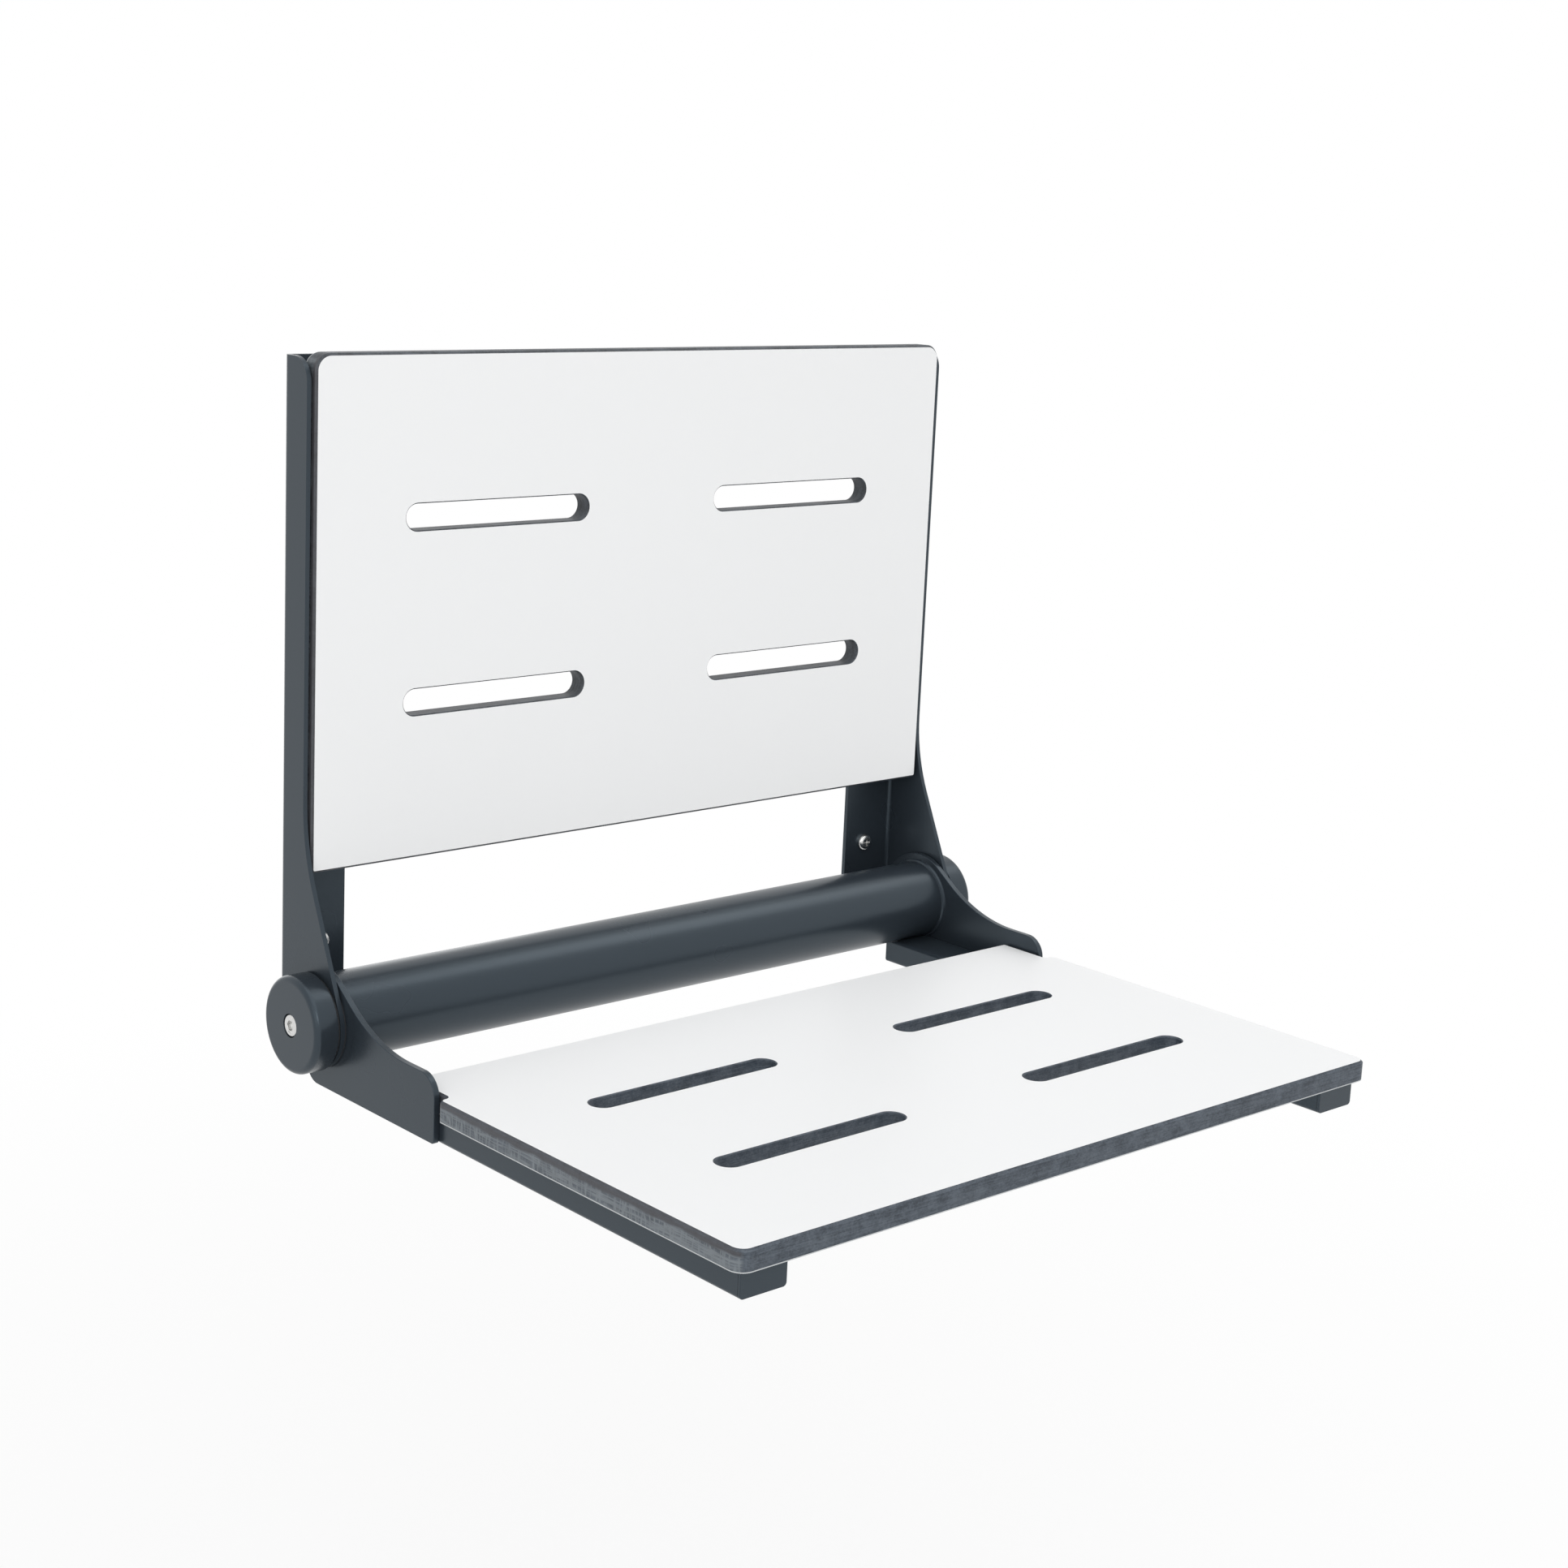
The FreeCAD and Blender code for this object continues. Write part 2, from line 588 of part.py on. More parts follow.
def tube_weld():
    """Weld bead where the cross tube meets the right arm plate."""
    inner = TUBE_R + RUN
    crown = WELD * WELD_CROWN
    bead = turned_x([(ARM_PLATE_IN_X - WELD, inner), (ARM_PLATE_IN_X, inner),
                     (ARM_PLATE_IN_X, inner + WELD), (ARM_PLATE_IN_X - crown, inner + crown)])
    return bead.cut(arm_section(-RUN, ARM_TUBE_FRONT_Y, ARM_TUBE_REAR_Y + RUN))


def axle():
    """Axle: plug welded in the tube end, with the hinge spigot."""
    plug = rod_x(TUBE_R - TUBE_WALL - RUN, ARM_PLATE_IN_X - PLUG_LENGTH, ARM_PLATE_IN_X)
    spigot = rod_x(SPIGOT_R, ARM_PLATE_IN_X - PAST, SPIGOT_END_X)
    spigot = spigot.makeChamfer(SPIGOT_EDGE, edges_on(spigot, "X", SPIGOT_END_X))
    thread = rod_x(BOLT_R + RUN, SPIGOT_END_X - BOLT_REACH - THREAD_SPARE, SPIGOT_END_X + PAST)
    return single(plug.fuse(spigot).cut(thread))


def friction_facing():
    """Thin facing between the arm plate and the bracket eye."""
    return ring_x(FACING_OUT_R, FACING_IN_R, ARM_PLATE_OUT_X, SIDE_IN_X)


def friction_ring():
    """Friction ring outside the bracket eye."""
    return ring_x(FRICTION_RING_R, SPIGOT_R + COPE, SIDE_OUT_X, RING_OUT_X)


def disc_springs():
    """Stack of disc springs between the friction ring and the end cap."""
    pitch = SPRING_STACK / SPRING_COUNT
    rise = pitch - SPRING_T
    inner = SPIGOT_R + COPE
    springs = []
    for i in range(SPRING_COUNT):
        low = RING_OUT_X + i * pitch
        at_bore = rise * (i % 2)
        at_rim = rise - at_bore
        springs.append(turned_x([
            (low + at_bore, inner), (low + at_bore + SPRING_T, inner),
            (low + at_rim + SPRING_T, SPRING_R), (low + at_rim, SPRING_R),
        ]))
    return springs


def end_cap():
    """Round end cap over the hinge, hollow for the springs."""
    body = rod_x(CAP_R, RING_OUT_X + CAP_GAP, CAP_OUT_X)
    body = body.makeFillet(CAP_EDGE_R, edges_on(body, "X", CAP_OUT_X))
    body = body.makeFillet(CAP_RIM_R, edges_on(body, "X", RING_OUT_X + CAP_GAP))
    body = body.cut(rod_x(CAP_HOLLOW_R, RING_OUT_X, SPIGOT_END_X))
    body = body.cut(rod_x(BOLT_R + COPE, SPIGOT_END_X - PAST, CAP_OUT_X))
    body = body.cut(rod_x(COUNTERBORE_R, HEAD_SEAT_X, CAP_OUT_X + PAST))
    return single(body)


def cap_screw():
    """Button head screw that holds the end cap on the axle."""
    tip = SPIGOT_END_X - BOLT_REACH
    shank = rod_x(BOLT_R, tip, HEAD_SEAT_X)
    shank = shank.makeChamfer(BOLT_TIP, edges_on(shank, "X", tip))
    rim = HEAD_SEAT_X + BOLT_RIM_H
    top = HEAD_SEAT_X + BOLT_HEAD_H
    shoulder = ((rim + top) / 2 + BOLT_BULGE, (BOLT_HEAD_R + BOLT_CROWN_R) / 2 + BOLT_BULGE)
    profile = Part.Wire([
        Part.makeLine(side_flat(HEAD_SEAT_X, 0), side_flat(HEAD_SEAT_X, BOLT_HEAD_R)),
        Part.makeLine(side_flat(HEAD_SEAT_X, BOLT_HEAD_R), side_flat(rim, BOLT_HEAD_R)),
        Part.Arc(side_flat(rim, BOLT_HEAD_R), side_flat(*shoulder),
                 side_flat(top, BOLT_CROWN_R)).toShape(),
        Part.makeLine(side_flat(top, BOLT_CROWN_R), side_flat(top, 0)),
        Part.makeLine(side_flat(top, 0), side_flat(HEAD_SEAT_X, 0)),
    ])
    head = Part.Face(profile).revolve(FreeCAD.Vector(0, 0, 0), FreeCAD.Vector(1, 0, 0), 360)
    reach = SOCKET_FLATS / 2 / math.cos(math.radians(30))
    hexagon = [side_point(reach * math.cos(math.radians(60 * i)),
                          reach * math.sin(math.radians(60 * i)), top - SOCKET_DEPTH)
               for i in range(HEX_CORNERS + 1)]
    socket = Part.Face(Part.makePolygon(hexagon)).extrude(FreeCAD.Vector(SOCKET_DEPTH + PAST, 0, 0))
    return single(shank.fuse(head).cut(socket))


def side_flat(x, radius):
    """Point of a turned profile, x along the axis."""
    return FreeCAD.Vector(x, 0, radius)


def stop_pin():
    """Pin in the arm plate that runs in the bracket's curved slot."""
    end = SIDE_OUT_X - COPE
    body = rod_x(STOP_PIN_R, ARM_PLATE_IN_X, end, 0, -STOP_R)
    return body.makeChamfer(STOP_PIN_EDGE, edges_on(body, "X", end))


def seat_insert(y):
    """Threaded insert in the underside of the seat panel."""
    body = rod_z(INSERT_R, ARM_MID_X, y, SEAT_LOW_Z, SEAT_LOW_Z + INSERT_L)
    return body.cut(rod_z(SEAT_SCREW_R + RUN, ARM_MID_X, y, SEAT_LOW_Z - PAST,
                          SEAT_LOW_Z + INSERT_L + PAST))


def seat_screw(y):
    """Screw up through the arm tube's top wall into the seat panel."""
    head_top = SEAT_LOW_Z - ARM_TUBE_WALL
    shank = rod_z(SEAT_SCREW_R, ARM_MID_X, y, head_top - PAST, SEAT_LOW_Z + SEAT_SCREW_REACH)
    head = rod_z(SEAT_SCREW_HEAD_R, ARM_MID_X, y, head_top - SEAT_SCREW_HEAD_H, head_top)
    head = head.makeFillet(SEAT_SCREW_EDGE_R, edges_on(head, "Z", head_top - SEAT_SCREW_HEAD_H))
    return single(shank.fuse(head))


def hole_plug(y):
    """Plug in the screwdriver hole under the arm tube."""
    head = rod_z(PLUG_HEAD_R, ARM_MID_X, y, ARM_BOTTOM_Z - PLUG_HEAD_H, ARM_BOTTOM_Z)
    head = head.makeFillet(PLUG_EDGE_R, edges_on(head, "Z", ARM_BOTTOM_Z - PLUG_HEAD_H))
    stub = rod_z(ACCESS_R - RUN, ARM_MID_X, y, ARM_BOTTOM_Z - PLUG_HEAD_H / 2,
                 ARM_BOTTOM_Z + ARM_TUBE_WALL)
    return single(head.fuse(stub))


def wall_screw():
    """Pan head wall screw with a cross recess, cut off at the wall plane."""
    face = WALL_Y - PLATE
    shank = rod_y(WALL_SCREW_R, WALL_HOLE_X, face - PAST, WALL_Y, LOW_SCREW_Z)
    head = rod_y(WALL_HEAD_R, WALL_HOLE_X, face - WALL_HEAD_H, face, LOW_SCREW_Z)
    head = head.makeFillet(WALL_HEAD_EDGE_R, edges_on(head, "Y", face - WALL_HEAD_H))
    body = shank.fuse(head)
    top = face - WALL_HEAD_H - PAST
    body = body.cut(box(WALL_HOLE_X - CROSS_W / 2, WALL_HOLE_X + CROSS_W / 2, top,
                        top + PAST + CROSS_D, LOW_SCREW_Z - CROSS_L / 2, LOW_SCREW_Z + CROSS_L / 2))
    body = body.cut(box(WALL_HOLE_X - CROSS_L / 2, WALL_HOLE_X + CROSS_L / 2, top,
                        top + PAST + CROSS_D, LOW_SCREW_Z - CROSS_W / 2, LOW_SCREW_Z + CROSS_W / 2))
    return single(body)


def write_piece(node, shape):
    """Move a piece to the wall holes' centre and write it out."""
    moved = shape.copy()
    moved.translate(FreeCAD.Vector(0, -WALL_Y, -CENTRE_Z))
    moved.exportStep("parts/" + node + ".step")


def write_pair(name, shape):
    """Write a right hand piece and its mirror image."""
    write_piece("right_" + name, shape)
    write_piece("left_" + name, mirrored(shape))


def write_all():
    """Build every piece of the seat."""
    os.makedirs("parts", exist_ok=True)
    pairs = {
        "wall_bracket": wall_bracket(),
        "backrest_cleats": Part.makeCompound([cleat(z) for z in CLEAT_Z]),
        "hinge_bush": hinge_bush(),
        "arm_plate": arm_plate(),
        "arm_tube": arm_tube(),
        "arm_front_end": arm_front_end(),
        "arm_rear_end": arm_rear_end(),
        "tube_weld": tube_weld(),
        "axle": axle(),
        "stop_pin": stop_pin(),
        "friction_facing": friction_facing(),
        "friction_ring": friction_ring(),
        "disc_springs": Part.makeCompound(disc_springs()),
        "end_cap": end_cap(),
        "cap_screw": cap_screw(),
    }
    for name, shape in pairs.items():
        write_pair(name, shape)
    singles = {
        "backrest_panel": backrest_panel(),
        "backrest_inserts": [back_insert(z) for z in CLEAT_Z],
        "backrest_hanger_screws": [hanger_screw(z) for z in CLEAT_Z],
        "wall_screws": [wall_screw()],
        "cross_tube": cross_tube(),
        "seat_panel": seat_panel(),
        "seat_inserts": [seat_insert(y) for y in SEAT_SCREW_Y],
        "seat_screws": [seat_screw(y) for y in SEAT_SCREW_Y],
        "arm_hole_plugs": [hole_plug(y) for y in SEAT_SCREW_Y],
    }
    for name, shape in singles.items():
        if isinstance(shape, list):
            shape = both_sides(shape)
        write_piece(name, shape)


write_all()
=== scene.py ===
"""Looks of the fold down wall seat: softened edges, finishes, studio and camera.

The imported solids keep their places.  Each visible steel or panel piece is shown
by a copy of its solid whose sharp edges are rounded, and every piece gets a
node based finish.  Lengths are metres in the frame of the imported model.
"""
import json
import logging
import math
from dataclasses import dataclass, field, replace
from enum import Enum
from typing import Any, Union

import bmesh
import bpy
from mathutils import Matrix, Vector

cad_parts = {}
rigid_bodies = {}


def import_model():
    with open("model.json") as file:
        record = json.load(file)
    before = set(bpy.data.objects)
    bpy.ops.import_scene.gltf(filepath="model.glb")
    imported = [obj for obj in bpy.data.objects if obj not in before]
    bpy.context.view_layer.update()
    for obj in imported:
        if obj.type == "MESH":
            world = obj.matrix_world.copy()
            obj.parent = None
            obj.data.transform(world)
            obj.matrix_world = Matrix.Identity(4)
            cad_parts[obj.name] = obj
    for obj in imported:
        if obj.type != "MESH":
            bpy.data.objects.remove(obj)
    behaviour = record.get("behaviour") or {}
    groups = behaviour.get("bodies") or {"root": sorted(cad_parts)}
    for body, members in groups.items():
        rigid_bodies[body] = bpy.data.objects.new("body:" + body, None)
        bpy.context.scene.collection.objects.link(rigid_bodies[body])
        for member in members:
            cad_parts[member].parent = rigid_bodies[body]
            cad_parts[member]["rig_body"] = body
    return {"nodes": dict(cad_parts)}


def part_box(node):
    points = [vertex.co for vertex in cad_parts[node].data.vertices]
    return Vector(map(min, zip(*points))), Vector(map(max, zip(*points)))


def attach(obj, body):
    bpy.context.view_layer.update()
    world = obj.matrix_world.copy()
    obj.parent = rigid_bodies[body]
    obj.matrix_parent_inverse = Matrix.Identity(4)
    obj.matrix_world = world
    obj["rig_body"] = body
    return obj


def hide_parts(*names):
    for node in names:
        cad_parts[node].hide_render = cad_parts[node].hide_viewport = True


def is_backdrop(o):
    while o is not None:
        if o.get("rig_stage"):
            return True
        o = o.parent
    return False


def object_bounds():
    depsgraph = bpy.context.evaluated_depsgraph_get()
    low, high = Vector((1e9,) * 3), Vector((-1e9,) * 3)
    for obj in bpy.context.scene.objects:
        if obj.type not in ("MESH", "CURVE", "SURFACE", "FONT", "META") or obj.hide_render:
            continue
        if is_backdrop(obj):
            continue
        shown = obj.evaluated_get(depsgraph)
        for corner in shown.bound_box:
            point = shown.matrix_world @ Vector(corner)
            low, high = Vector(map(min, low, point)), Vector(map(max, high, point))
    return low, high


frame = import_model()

LOG = logging.getLogger("wall_seat")
PHOTO_PIXELS = 1932.0
SENSOR_MM = 36.0
MM = 0.001
SURFACE_IOR = 1.5
Pair = tuple[float, float]
Triple = tuple[float, float, float]
Colour = Triple


class Thickness(Enum):
    """Axis that runs through a panel's thickness, by its place in a vector."""

    SEAT = 2
    BACKREST = 1


class Value:
    """A shader socket that takes part in Python arithmetic."""

    def __init__(self, shader: "Shader", socket: bpy.types.NodeSocket) -> None:
        """Keep the shader that makes new nodes and the wrapped socket."""
        self.shader = shader
        self.socket = socket

    def _maths(self, operation: str, *others: "Number", swapped: bool = False) -> "Value":
        """Add a Math node.

        Args:
            operation: the Math node's operation.
            others: the other inputs.
            swapped: put this value second.

        Returns:
            The result.
        """
        values: list[Any] = [self, *others]
        if swapped:
            values.reverse()
        sockets = dict(enumerate(values))
        return self.shader.add("ShaderNodeMath", {"operation": operation}, sockets)

    def __add__(self, other: "Number") -> "Value":
        """Return the sum."""
        return self._maths("ADD", other)

    __radd__ = __add__

    def __sub__(self, other: "Number") -> "Value":
        """Return the difference."""
        return self._maths("SUBTRACT", other)

    def __rsub__(self, other: "Number") -> "Value":
        """Return the other value less this one."""
        return self._maths("SUBTRACT", other, swapped=True)

    def __mul__(self, other: "Number") -> "Value":
        """Return the product."""
        return self._maths("MULTIPLY", other)

    __rmul__ = __mul__

    def __gt__(self, other: "Number") -> "Value":
        """Return 1 where this value is the larger."""
        return self._maths("GREATER_THAN", other)

    def __lt__(self, other: "Number") -> "Value":
        """Return 1 where this value is the smaller."""
        return self._maths("LESS_THAN", other)

    def size(self) -> "Value":
        """Return the value without its sign."""
        return self.shader.add("ShaderNodeMath", {"operation": "ABSOLUTE"}, {0: self})

    def either(self, other: "Number") -> "Value":
        """Return the larger of two values."""
        return self._maths("MAXIMUM", other)


Number = Union[Value, float]


class Shader:
    """One material under construction."""

    def __init__(self, name: str) -> None:
        """Start a material that holds only its surface and output."""
        self.material = bpy.data.materials.new(name)
        self.material.use_nodes = True
        self.tree = self.material.node_tree
        self.tree.nodes.clear()
        self.surface = self.tree.nodes.new("ShaderNodeBsdfPrincipled")
        self.output = self.tree.nodes.new("ShaderNodeOutputMaterial")
        self.join(self.surface.outputs[0], self.output.inputs["Surface"])

    def join(self, source: bpy.types.NodeSocket, target: bpy.types.NodeSocket) -> None:
        """Link two sockets."""
        self.tree.links.new(source, target)

    def add(self, kind: str, settings: dict[str, Any], sockets: dict[Any, Any],
            output: Union[int, str] = 0) -> Value:
        """Add a node of any type.

        Args:
            kind: the node's type.
            settings: its properties, set first; "stops" fills a colour ramp.
            sockets: values or links by input name or number.
            output: the output to return.

        Returns:
            The chosen output.
        """
        node = self.tree.nodes.new(kind)
        for name, setting in settings.items():
            if name == "stops":
                self._fill_ramp(node, setting)
            else:
                setattr(node, name, setting)
        for name, content in sockets.items():
            if isinstance(content, Value):
                self.join(content.socket, node.inputs[name])
            else:
                node.inputs[name].default_value = content
        return Value(self, node.outputs[output])

    @staticmethod
    def _fill_ramp(node: bpy.types.Node, stops: list[tuple[float, Colour]]) -> None:
        """Set the stops of a colour ramp from (place, colour) pairs."""
        elements = node.color_ramp.elements
        while len(elements) < len(stops):
            elements.new(1.0)
        for element, (place, colour) in zip(elements, stops):
            element.position = place
            element.color = (*colour, 1.0)

    def place(self) -> Value:
        """Return the position on the piece, in the frame of the model."""
        return self.add("ShaderNodeTexCoord", {}, {}, "Object")

    def facing(self) -> Value:
        """Return the surface direction in the frame of the model."""
        return self.add("ShaderNodeTexCoord", {}, {}, "Normal")

    def part(self, vector: Value, axis: int) -> Value:
        """Return one part of a vector."""
        return self.add("ShaderNodeSeparateXYZ", {}, {0: vector}, axis)

    def stretched(self, vector: Value, scale: Triple) -> Value:
        """Return a vector scaled by its axes."""
        return self.add("ShaderNodeVectorMath", {"operation": "MULTIPLY"}, {0: vector, 1: scale})

    def noise(self, vector: Value, scale: float, detail: float = 2.0,
              roughness: float = 0.5) -> Value:
        """Return soft noise between 0 and 1."""
        return self.add("ShaderNodeTexNoise", {}, {"Vector": vector, "Scale": scale,
                                                   "Detail": detail, "Roughness": roughness})

    def blend(self, amount: Number, first: Any, second: Any) -> Value:
        """Return a mix of two colours."""
        settings = {"data_type": "RGBA"}
        values = {0: amount, 6: self._colour(first), 7: self._colour(second)}
        return self.add("ShaderNodeMix", settings, values, 2)

    @staticmethod
    def _colour(content: Any) -> Any:
        """Return a colour with its alpha, or a link as it is."""
        return content if isinstance(content, Value) else (*content, 1.0)

    def bump(self, height: Value, depth_mm: float, strength: float = 1.0) -> Value:
        """Return a bumped surface direction."""
        return self.add("ShaderNodeBump", {}, {"Height": height, "Distance": depth_mm * MM,
                                               "Strength": strength})

    def dress(self, **inputs: Any) -> bpy.types.Material:
        """Fill the surface's sockets, by name with spaces as underscores.

        Returns:
            The finished material.
        """
        for name, content in inputs.items():
            target = self.surface.inputs[name.replace("_", " ")]
            if isinstance(content, Value):
                self.join(content.socket, target)
            elif isinstance(content, tuple):
                target.default_value = (*content, 1.0)
            else:
                target.default_value = content
        return self.material


@dataclass(frozen=True)
class PowderCoat:
    """Baked powder coat on steel: satin, with a fine orange peel."""

    name: str
    colour: Colour
    roughness: float
    sheen: Colour = (0.70, 0.87, 1.0)
    drift_per_m: float = 9.0
    fleck_per_m: float = 2600.0
    peel_per_m: float = 620.0
    peel_mm: float = 0.012
    fleck_relief: float = 0.15
    tones: Pair = (0.9, 1.1)
    drift_share: float = 0.6
    fleck_share: float = 0.4
    gloss_swing: float = 0.12

    def build(self) -> bpy.types.Material:
        """Return the material."""
        shader = Shader(self.name)
        place = shader.place()
        drift = shader.noise(place, self.drift_per_m, 3.0)
        fleck = shader.noise(place, self.fleck_per_m, 1.0)
        peel = shader.noise(place, self.peel_per_m, roughness=0.45)
        dark, light = (tuple(channel * tone for channel in self.colour) for tone in self.tones)
        colour = shader.blend(drift * self.drift_share + fleck * self.fleck_share, dark, light)
        roughness = self.roughness - self.gloss_swing / 2 + drift * self.gloss_swing
        height = peel + fleck * self.fleck_relief
        return shader.dress(Base_Color=colour, Roughness=roughness, IOR=SURFACE_IOR,
                            Specular_Tint=self.sheen, Normal=shader.bump(height, self.peel_mm))


@dataclass(frozen=True)
class CompactLaminate:
    """White faced laminate board with a dark fibrous core that its cut edges show."""

    name: str
    through: Thickness
    low: float
    high: float
    face: Colour = (0.885, 0.892, 0.897)
    core_dark: Colour = (0.022, 0.032, 0.046)
    core_light: Colour = (0.084, 0.104, 0.130)
    core_brown: Colour = (0.062, 0.060, 0.066)
    scuff: Colour = (0.225, 0.252, 0.270)
    sheet_colour: Colour = (0.56, 0.58, 0.59)
    sheet: float = 0.0006
    brown_band: float = 0.0084
    slots_end: float = 0.21
    flat_from: float = 0.9
    cloud_per_m: float = 6.0
    warm_tone: float = 0.985
    grain_per_m: float = 1500.0
    fibre_per_m: float = 1900.0
    grain_relief: float = 0.35
    relief_mm: float = 0.02
    edge_roughness: float = 0.5
    face_polish: float = 0.1
    layer_scales: Pair = (45.0, 1500.0)
    fibre_scales: Pair = (700.0, 1100.0)
    mottle_per_m: float = 130.0
    tone_shares: Triple = (0.35, 0.3, 0.35)
    tone_stops: Pair = (0.41, 0.60)
    wander_per_m: float = 60.0
    wander_depth: float = 0.004
    brown_fade: Pair = (0.001, 0.003)
    brown_share: float = 0.75
    side_range: Pair = (0.5, 0.8)
    course_scales: Pair = (25.0, 520.0)
    course_sharpness: float = 7.0
    crossing_scales: Pair = (260.0, 40.0)
    crossing_sharpness: float = 9.0
    patch_per_m: float = 30.0
    patch_lift: float = 0.2
    patch_range: Pair = (0.44, 0.66)
    side_marks: float = 0.9
    front_marks: float = 0.1
    haze_share: float = 0.2
    mark_share: float = 0.75

    def build(self) -> bpy.types.Material:
        """Return the material."""
        shader = Shader(self.name)
        place = shader.place()
        facing = shader.facing()
        axis = self.through.value
        flat = shader.part(facing, axis).size() > self.flat_from
        depth = self._depth(shader.part(place, axis))
        back_sheet = depth < self.sheet
        outside = shader.part(place, 0).size() > self.slots_end
        core = self._core(shader, place, depth, shader.part(facing, 0).size() * outside)
        cloud = shader.noise(place, self.cloud_per_m)
        warm = tuple(channel * self.warm_tone for channel in self.face)
        edge = shader.blend(back_sheet, core, self.sheet_colour)
        colour = shader.blend(flat, edge, shader.blend(cloud, warm, self.face))
        grain = shader.noise(place, self.grain_per_m, roughness=0.55)
        fibres = shader.noise(place, self.fibre_per_m, roughness=0.6)
        height = grain * self.grain_relief * flat + fibres * (1 - flat)
        roughness = self.edge_roughness - flat * self.face_polish
        return shader.dress(Base_Color=colour, Roughness=roughness, IOR=SURFACE_IOR,
                            Normal=shader.bump(height, self.relief_mm))

    def _depth(self, along: Value) -> Value:
        """Return the height above the panel's hidden face."""
        if self.through is Thickness.SEAT:
            return along - self.low
        return self.high - along

    def _core(self, shader: Shader, place: Value, depth: Value, sideways: Value) -> Value:
        """Return the colour of the cut edge.

        Args:
            shader: the shader to add to.
            place: the position on the piece.
            depth: the height above the hidden face.
            sideways: the share of the surface direction that lies along X.

        Returns:
            The colour, with layers, fibres and pale scuffs.
        """
        layers = shader.noise(self._squashed(shader, place, self.layer_scales), 1.0, 3.0, 0.6)
        fibres = shader.noise(self._squashed(shader, place, self.fibre_scales), 1.0, 2.0, 0.6)
        mottle = shader.noise(place, self.mottle_per_m, 3.0, 0.6)
        layer_share, fibre_share, mottle_share = self.tone_shares
        tone = layers * layer_share + fibres * fibre_share + mottle * mottle_share
        stops = list(zip(self.tone_stops, (self.core_dark, self.core_light)))
        plain = shader.add("ShaderNodeValToRGB", {"stops": stops}, {0: tone})
        wander = shader.noise(place, self.wander_per_m) * self.wander_depth
        upper = self._ramp(shader, depth + wander, *(self.brown_band + fade
                                                     for fade in self.brown_fade))
        side = self._ramp(shader, sideways, *self.side_range)
        plain = shader.blend(upper * side * self.brown_share, plain, self.core_brown)
        courses = self._ridges(shader, self._squashed(shader, place, self.course_scales),
                               self.course_sharpness)
        crossings = self._ridges(shader, self._squashed(shader, place, self.crossing_scales),
                                 self.crossing_sharpness)
        patch = self._ramp(shader, shader.noise(place, self.patch_per_m, 3.0)
                           + side * self.patch_lift, *self.patch_range)
        strength = side * self.side_marks + self.front_marks
        marks = courses.either(crossings) * patch * (1 - upper) * strength
        haze = patch * (1 - upper) * side * self.haze_share
        return shader.blend(haze.either(marks * self.mark_share), plain, self.scuff)

    def _squashed(self, shader: Shader, place: Value, scales: Pair) -> Value:
        """Return the position scaled along the edge and through the thickness."""
        along, across = scales
        scale = [along] * 3
        scale[self.through.value] = across
        return shader.stretched(place, tuple(scale))

    @staticmethod
    def _ridges(shader: Shader, vector: Value, sharpness: float) -> Value:
        """Return thin lines that wander through a vector field."""
        offset = (shader.noise(vector, 1.0, 1.0) - 0.5).size()
        return (1 - offset * sharpness).either(0.0)

    @staticmethod
    def _ramp(shader: Shader, amount: Value, low: float, high: float) -> Value:
        """Return a smooth step from 0 to 1."""
        return shader.add("ShaderNodeMapRange", {"interpolation_type": "SMOOTHSTEP"}, {
            "Value": amount, "From Min": low, "From Max": high})


@dataclass(frozen=True)
class Steel:
    """Bare or polished steel with fine marks along one axis or round it."""

    name: str
    colour: Colour
    roughness: float
    marks: Triple = (900.0, 900.0, 900.0)
    mark_mm: float = 0.006
    cloud_per_m: float = 120.0
    dark_tone: float = 0.82
    cloud_gloss: float = 0.1
    mark_gloss: float = 0.06

    def build(self) -> bpy.types.Material:
        """Return the material."""
        shader = Shader(self.name)
        place = shader.place()
        marks = shader.noise(shader.stretched(place, self.marks), 1.0, 3.0, 0.6)
        cloud = shader.noise(place, self.cloud_per_m)
        dark = tuple(channel * self.dark_tone for channel in self.colour)
        colour = shader.blend(marks, dark, self.colour)
        roughness = self.roughness + cloud * self.cloud_gloss + marks * self.mark_gloss
        return shader.dress(Base_Color=colour, Metallic=1.0, Roughness=roughness,
                            Normal=shader.bump(marks, self.mark_mm))


@dataclass(frozen=True)
class Moulded:
    """Moulded plastic or pressed friction lining."""

    name: str
    colour: Colour
    roughness: float
    grain_per_m: float = 1400.0
    grain_mm: float = 0.02
    grain_gloss: float = 0.08
    cloud_per_m: float = 60.0
    dark_tone: float = 0.85

    def build(self) -> bpy.types.Material:
        """Return the material."""
        shader = Shader(self.name)
        place = shader.place()
        grain = shader.noise(place, self.grain_per_m)
        cloud = shader.noise(place, self.cloud_per_m)
        dark = tuple(channel * self.dark_tone for channel in self.colour)
        return shader.dress(Base_Color=shader.blend(cloud, dark, self.colour),
                            Roughness=self.roughness + grain * self.grain_gloss,
                            Normal=shader.bump(grain, self.grain_mm))


